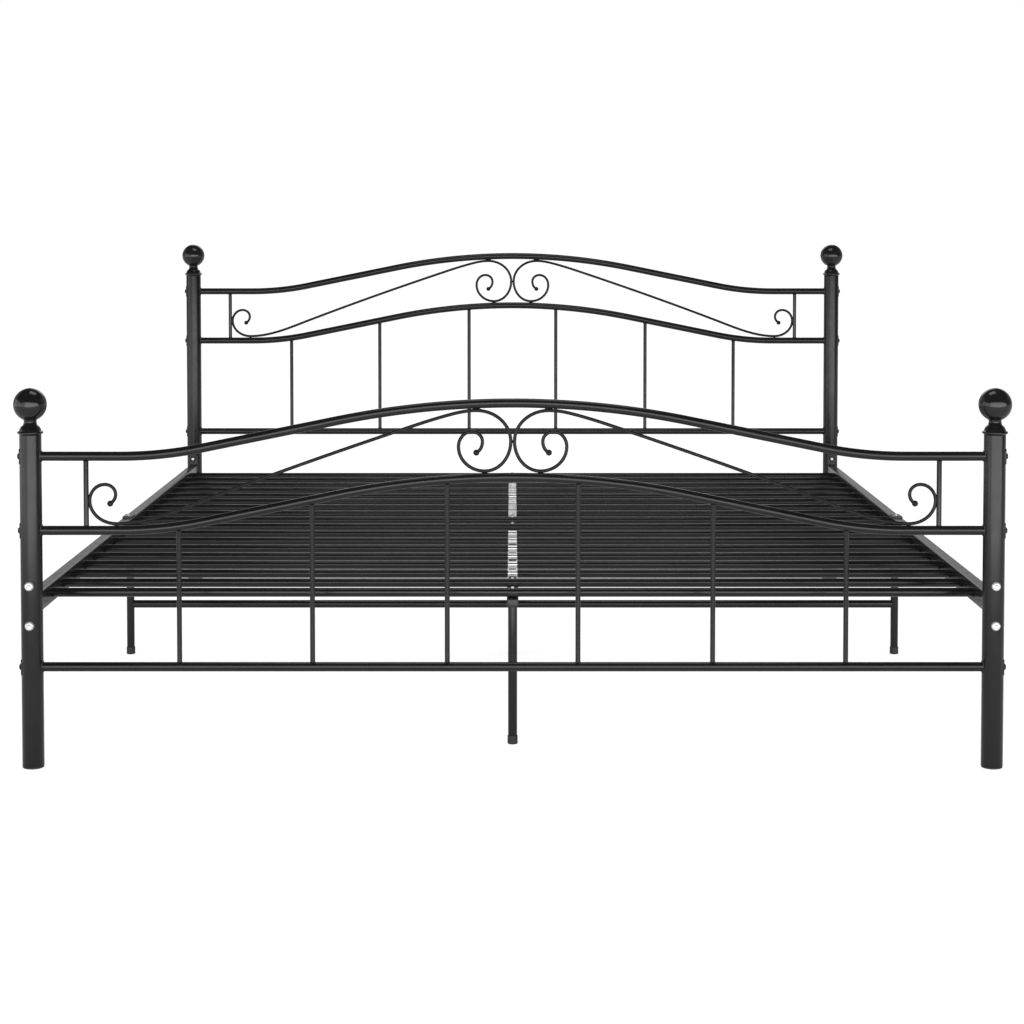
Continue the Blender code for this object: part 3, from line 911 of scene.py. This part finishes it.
def add_rail_bolt(panel, side, level):
    """A zinc button head through post and plate, with washer and nut inside."""
    name = f"{panel}_rail_bolt_{side}_{level}"
    low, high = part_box(name)
    middle = (low + high) / 2
    sign = PANELS[panel]
    outer = high.y if sign > 0 else low.y
    place = facing((middle.x, outer, middle.z), (0, sign, 0))
    place = place @ Matrix.Translation((0, 0, -BOLT_HEAD_HEIGHT))
    length = abs(high.y - low.y) - BOLT_HEAD_HEIGHT
    washer = soften(WASHER_PROFILE, 0.0004, closed=True)
    add_piece(
        f"{name}_washer",
        lambda shape: turned(shape, washer, 48, place, closed=True),
        MATT,
    )
    head = [(r, h + 0.0006, *bend) for r, h, *bend in button_head(*RAIL_BOLT_HEAD)]
    shank = [(SCREW_RADIUS, -0.0004), (SCREW_RADIUS, -length + 0.012)]
    for turn in range(int(THREAD_LENGTH / THREAD_PITCH)):
        height = -length + 0.0118 - turn * THREAD_PITCH
        shank.append((THREAD_CREST, height - 0.2 * THREAD_PITCH))
        shank.append((THREAD_ROOT, height - 0.7 * THREAD_PITCH))
    shank += [(0.0030, -length), (0.0, -length)]
    add_piece(
        f"{name}_screw",
        lambda shape: turned(shape, head + shank, 48, place),
        ZINC,
        [name],
    )
    # the nut stops a few threads short of the screw's end
    nut_seat = -length + 0.004 + 0.0065
    nut = hex_nut(NUT_HALF_WIDTH, NUT_HEIGHT)
    nut_place = place @ Matrix.Translation((0, 0, nut_seat - NUT_HEIGHT))
    add_piece(
        f"{name}_nut",
        lambda shape: turned(shape, nut, 48, nut_place, closed=True),
        COAT,
    )


def hex_nut(flat, height):
    """Closed profile of a chamfered hexagon nut round its hole."""
    edge = 0.0009
    hole = 0.0038
    return [
        (hole, 0.0004),
        (hole + 0.0004, 0.0),
        (flat * 0.96, 0.0),
        (flat * 0.99, edge * 0.5, 0.55),
        (flat, edge, 1.0),
        (flat, height - edge, 1.0),
        (flat * 0.99, height - edge * 0.5, 0.55),
        (flat * 0.96, height),
        (hole + 0.0004, height),
        (hole, height - 0.0004),
    ]


# --- deck ----------------------------------------------------------------------------


def slat_profile(near, far):
    """A round tube's outline from near to far along its axis, with softened ends."""
    outline = [(0.0, near), (SLAT_RADIUS, near), (SLAT_RADIUS, far), (0.0, far)]
    return soften(outline, 0.0007)


def add_slat(index):
    """A cross tube. Away from the centre legs its two halves meet on a zinc pin."""
    name = f"deck_slat_{index + 1:02d}"
    low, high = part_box(name)
    axis = (low + high) / 2
    place = facing((0, axis.y, axis.z), (1, 0, 0))
    half = high.x + EDGE
    if index in SUPPORTED_SLATS:
        add_piece(
            f"{name}_tube",
            lambda shape: turned(shape, slat_profile(-half, half), 28, place),
            COAT,
            [name],
        )
        add_slat_bolt(name, axis)
        return
    for side, sign in SIDES.items():
        near, far = sorted((sign * PIN_HALF_LENGTH, sign * half))
        replaces = [name] if side == "left" else []
        add_piece(
            f"{name}_{side}",
            lambda shape: turned(shape, slat_profile(near, far), 28, place),
            COAT,
            replaces,
        )
    reach = PIN_HALF_LENGTH + PIN_INSIDE
    outline = [(0.0, -reach), (PIN_RADIUS, -reach), (PIN_RADIUS, reach), (0.0, reach)]
    pin = soften(outline, 0.0008)
    add_piece(
        f"{name}_pin",
        lambda shape: turned(shape, pin, 28, place),
        PIN_ZINC,
    )
    if index in CLIPPED_SLATS:
        under = facing_down(place)
        add_piece(
            f"{name}_clip",
            lambda shape: saddle(shape, under, PIN_RADIUS, *PIN_CLIP),
            MATT,
        )


def add_slat_bolt(name, axis):
    """The bolt that holds a slat on its bracket, and the cradle under the slat."""
    top = Vector((0.0, axis.y, axis.z + SLAT_RADIUS))
    place = facing_down(facing((0, axis.y, axis.z), (1, 0, 0)))
    add_piece(
        f"{name}_cradle",
        lambda shape: saddle(shape, place, SLAT_RADIUS, *SLAT_CRADLE),
        MATT,
    )
    head = button_head(*SLAT_BOLT_HEAD) + short_shank(0.0022)
    add_piece(
        f"{name}_bolt",
        lambda shape: turned(shape, head, 36, upright(top.x, top.y, top.z - 0.0006)),
        ZINC,
    )


# --- legs ----------------------------------------------------------------------------


def add_leg(node):
    """A leg's tube and its plastic foot cap."""
    low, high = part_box(node)
    axis = (low + high) / 2
    place = upright(axis.x, axis.y)
    outline = [(0.0, LEG_TUBE_START), (LEG_RADIUS, LEG_TUBE_START)]
    outline += [(LEG_RADIUS, high.z), (0.0, high.z)]
    tube = soften(outline, EDGE)
    add_piece(
        f"{node}_tube",
        lambda shape: turned(shape, tube, 36, place),
        COAT,
        [node],
    )
    outline = [(0.0, 0.0), (LEG_CAP_RADIUS - 0.0008, 0.0), (LEG_CAP_RADIUS, 0.001)]
    outline += [(LEG_CAP_RADIUS, LEG_CAP_HEIGHT), (LEG_RADIUS - 0.0008, LEG_CAP_HEIGHT)]
    outline += [(LEG_RADIUS - 0.0008, LEG_CAP_FLOOR), (0.0, LEG_CAP_FLOOR)]
    cap = soften(outline, EDGE)
    add_piece(
        f"{node}_cap",
        lambda shape: turned(shape, cap, 36, place),
        MATT,
    )


def add_bracket(node):
    """The pressed tray, open below, that lies under a pair of slats."""
    low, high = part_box(node)
    middle = (low + high) / 2
    half = (high - low) / 2
    ceiling = high.z - TRAY_WALL
    # inset from the bracket's outline and height: down the inside, round the lip, over the top
    levels = [
        (0.55 * half.x, ceiling),
        (TRAY_WALL + 0.0010, ceiling),
        (TRAY_WALL, ceiling - 0.0012),
        (TRAY_WALL, low.z + 0.0002),
        (TRAY_WALL - 0.0005, low.z),
        (0.0004, low.z),
        (0.0, low.z + 0.0004),
        (0.0, high.z - 0.0026),
        (0.0004, high.z - 0.0012),
        (0.0013, high.z - 0.0003),
        (0.0026, high.z),
        (0.55 * half.x, high.z),
    ]

    def tray(shape):
        rings = [[Vector((middle.x, middle.y, ceiling))]]
        for inset, z in levels:
            corner = max(0.0032 - inset, 0.0006)
            outline = rounded_box_ring(half.x - inset, half.y - inset, corner, 5)
            rings.append([Vector((middle.x + a, middle.y + b, z)) for a, b in outline])
        rings.append([Vector((middle.x, middle.y, high.z))])
        loft(shape, rings)

    add_piece(f"{node}_channel", tray, COAT, [node])


def add_brace(side):
    """The tube between a mid leg and the middle centre leg."""
    node = f"cross_brace_{side}"
    low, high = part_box(node)
    axis = (low + high) / 2
    radius = (high.z - low.z) / 2
    place = facing((0, axis.y, axis.z), (1, 0, 0))
    near, far = low.x - BRACE_INSIDE, high.x + BRACE_INSIDE
    outline = [(0.0, near), (radius, near), (radius, far), (0.0, far)]
    profile = soften(outline, EDGE)
    add_piece(
        f"{node}_tube",
        lambda shape: turned(shape, profile, 36, place),
        COAT,
        [node],
    )


def add_mid_leg_fixing(side):
    """The pressed cap and the bolt on top of a side rail that hold its mid leg."""
    low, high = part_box(f"side_rail_{side}")
    x = (low.x + high.x) / 2
    top = (low.z + high.z) / 2 + SIDE_RAIL_HALF_HEIGHT
    y = MID_LEG_CAP_Y
    rise = MID_LEG_CAP_RISE
    layers = [(0.0, -0.0003), (0.0, rise - 0.0016), (0.0005, rise - 0.0006), (0.0016, rise)]
    layers += [(0.0060, rise), (0.0085, rise - 0.0012)]

    def cap(shape):
        rings = [[Vector((x, y, top - 0.0003))]]
        for inset, height in layers:
            half_x = MID_LEG_CAP_HALF_WIDTH - inset
            half_y = MID_LEG_CAP_HALF_LENGTH - inset
            outline = rounded_box_ring(half_x, half_y, max(0.003 - inset, 0.001), 5)
            rings.append([Vector((x + a, y + b, top + height)) for a, b in outline])
        rings.append([Vector((x, y, top + rise - 0.0012))])
        loft(shape, rings)

    add_piece(f"mid_leg_cap_{side}", cap, COAT)
    head = button_head(*MID_LEG_BOLT_HEAD) + short_shank(0.0026)
    add_piece(
        f"mid_leg_bolt_{side}",
        lambda shape: turned(shape, head, 40, upright(x, y, top + rise - 0.0013)),
        ZINC,
    )


# --- the whole bed -------------------------------------------------------------------

for panel_name in PANELS:
    add_panel(panel_name)
    for side_name in SIDES:
        for level_name in ("lower", "upper"):
            add_rail_bolt(panel_name, side_name, level_name)
for slat_index in range(SLAT_COUNT):
    add_slat(slat_index)
for pair_name in SUPPORTED_PAIRS:
    add_leg(f"centre_leg_{pair_name}")
    add_bracket(f"centre_bracket_{pair_name}")
for side_name in SIDES:
    add_side_rail(side_name)
    add_leg(f"mid_leg_{side_name}")
    add_brace(side_name)
    add_mid_leg_fixing(side_name)


# --- floor, light and camera ---------------------------------------------------------

# Name, centre, point aimed at, width, height, radiance.
PANEL_LIGHTS = (
    ("front_strip", (3.15, -4.2, 0.9), (3.15, 0.0, 0.9), 10.7, 1.8, 3.1),
    ("front_left_strip", (-5.1, -4.2, 0.9), (-5.1, 0.0, 0.9), 5.8, 2.0, 1.5),
    ("left_strip", (-6.4, -1.4, 0.9), (0.0, -1.4, 0.9), 5.6, 3.2, 1.2),
    ("back_box", (0.0, 6.5, 4.1), (0.0, 0.0, 0.3), 4.6, 3.4, 1.1),
    ("overhead_box", (0.0, -0.35, 4.5), (0.0, 0.0, 0.0), 2.2, 1.7, 2.2),
)
# The floor lies a hair below the feet, so that the two never share a plane.
FLOOR_REACH = 120.0
FLOOR_DROP = 0.0002

# The room: where its walls fade upwards, how they glow from front to back in what gloss
# reflects, the glow above them, and the light that falls on everything else.
WALL_TOP = (0.40, 0.62)
WALL_GLOW = (0.06, 0.46)
CEILING_GLOW = 0.02
ROOM_LIGHT = 1.30

# Tilt below the level, in degrees; lens in millimetres.
CAMERA_PLACE = (-0.0012, -4.9616, 1.0786)
CAMERA_TILT = 2.407
CAMERA_LENS = 72.136
CAMERA_SHIFT = -0.21


def add_floor():
    """A wide, pale, plain floor."""
    material = bpy.data.materials.new("pale_floor")
    material.use_nodes = True
    tree = material.node_tree
    shader = tree.nodes["Principled BSDF"]
    where = add_node(tree, "ShaderNodeTexCoord").outputs["Object"]
    seen = add_node(tree, "ShaderNodeLightPath").outputs["Is Camera Ray"]
    tone = blend(tree, cloud(tree, where, 2.0, 3.0), (0.43, 0.43, 0.43), (0.45, 0.45, 0.45))
    tone = blend(tree, seen, tone, (0.20, 0.20, 0.20))
    tree.links.new(tone, shader.inputs["Base Color"])
    tree.links.new(combine(tree, "MULTIPLY", seen, 0.78), shader.inputs["Emission Strength"])
    shader.inputs["Emission Color"].default_value = (1.0, 1.0, 1.0, 1.0)
    shader.inputs["Roughness"].default_value = 0.9
    shader.inputs["Specular IOR Level"].default_value = 0.0
    mesh = bpy.data.meshes.new("floor")
    signs = ((-1, -1), (1, -1), (1, 1), (-1, 1))
    corners = [(FLOOR_REACH * across, FLOOR_REACH * along, 0.0) for across, along in signs]
    mesh.from_pydata(corners, [], [(0, 1, 2, 3)])
    mesh.materials.append(material)
    floor = bpy.data.objects.new("floor", mesh)
    floor.location.z = -FLOOR_DROP
    bpy.context.scene.collection.objects.link(floor)


def add_panel_light(name, centre, aim, width, height, radiance):
    """A soft rectangular light that the camera doesn't see."""
    light = bpy.data.lights.new(name, "AREA")
    light.shape = "RECTANGLE"
    light.size = width
    light.size_y = height
    light.energy = radiance * math.pi * width * height
    holder = bpy.data.objects.new(name, light)
    direction = Vector(aim) - Vector(centre)
    holder.location = centre
    holder.rotation_euler = direction.to_track_quat("-Z", "Y").to_euler()
    holder.visible_camera = False
    bpy.context.scene.collection.objects.link(holder)


def add_world():
    """A white room, which shows dark overhead in what gloss reflects."""
    world = bpy.data.worlds.new("studio")
    bpy.context.scene.world = world
    world.use_nodes = True
    tree = world.node_tree
    tree.nodes.clear()
    path = add_node(tree, "ShaderNodeLightPath").outputs
    sky = add_node(tree, "ShaderNodeTexCoord").outputs["Generated"]
    parts = add_node(tree, "ShaderNodeSeparateXYZ", {"Vector": sky}).outputs
    low = span(tree, parts["Z"], *WALL_TOP, 1.0, 0.0)
    behind = span(tree, parts["Y"], 0.0, 0.9, *WALL_GLOW)
    wall = combine(tree, "MULTIPLY", low, behind)
    reflected = combine(tree, "ADD", wall, CEILING_GLOW)
    soft = add_node(tree, "ShaderNodeMix", {0: path["Is Glossy Ray"], 2: ROOM_LIGHT, 3: reflected})
    shown = add_node(tree, "ShaderNodeMix", {0: path["Is Camera Ray"], 2: soft.outputs[0], 3: 1.0})
    light = {"Color": (1, 1, 1, 1), "Strength": shown.outputs[0]}
    ground = add_node(tree, "ShaderNodeBackground", light)
    out = add_node(tree, "ShaderNodeOutputWorld")
    tree.links.new(ground.outputs[0], out.inputs[0])
    world.cycles.sampling_method = "NONE"


def add_camera():
    """The view from the foot end, a little above the bed, tilted down by CAMERA_TILT."""
    camera = bpy.data.cameras.new("camera")
    camera.sensor_width = 36.0
    camera.lens = CAMERA_LENS
    camera.shift_y = CAMERA_SHIFT
    camera.clip_end = 400.0
    holder = bpy.data.objects.new("camera", camera)
    holder.location = CAMERA_PLACE
    holder.rotation_euler = (math.radians(90 - CAMERA_TILT), 0.0, 0.0)
    bpy.context.scene.collection.objects.link(holder)
    bpy.context.scene.camera = holder


add_floor()
add_world()
for panel_light in PANEL_LIGHTS:
    add_panel_light(*panel_light)
add_camera()
bpy.context.scene.view_settings.view_transform = "Standard"
